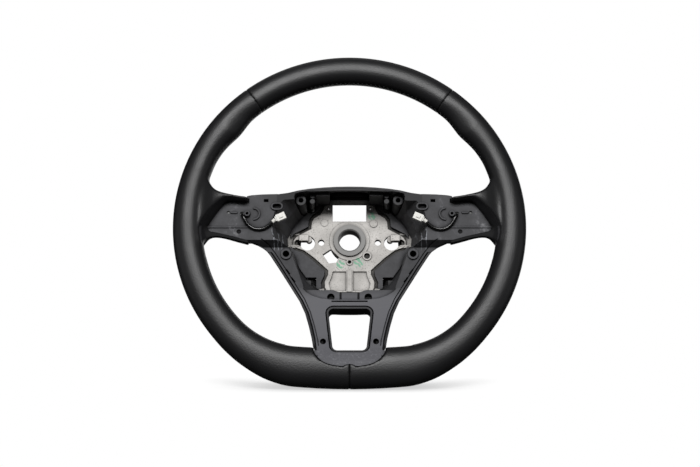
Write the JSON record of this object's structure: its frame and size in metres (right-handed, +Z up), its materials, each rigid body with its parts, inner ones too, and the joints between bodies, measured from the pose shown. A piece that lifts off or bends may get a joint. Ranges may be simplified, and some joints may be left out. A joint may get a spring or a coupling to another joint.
{
  "type": "steering wheel",
  "caption": "Flat-bottomed leather steering wheel without airbag: padded rim, side spokes and a windowed lower spoke on a cast frame with a splined hub, rear cover and heating leads.",
  "frame": {"origin": "on the axis of the splined bore, inside the hub bush", "axes": "the driver's side faces -Y, the column leaves along +Y, +Z is up the wheel at straight ahead, +X is to the driver's right"},
  "size_m": [0.3692, 0.1071, 0.359],
  "materials": {
    "casting": "as cast",
    "steel": "machined",
    "foam": "smooth skinned foam",
    "leather": "matt, fine grain",
    "cover": "fine textured",
    "screws": "zinc plated",
    "lead": "glossy sleeve",
    "connector": "moulded",
    "terminals": "plain"
  },
  "bodies": {
    "root": {"armature": "casting", "hub_bush": "steel", "foam_body": "foam", "leather_top": "leather", "leather_left": "leather", "leather_right": "leather", "rear_cover": "cover", "cover_screws": "screws", "lead_left": "lead", "lead_right": "lead", "connector_left": "connector", "connector_right": "connector", "terminals_left": "terminals", "terminals_right": "terminals"}
  },
  "joints": []
}
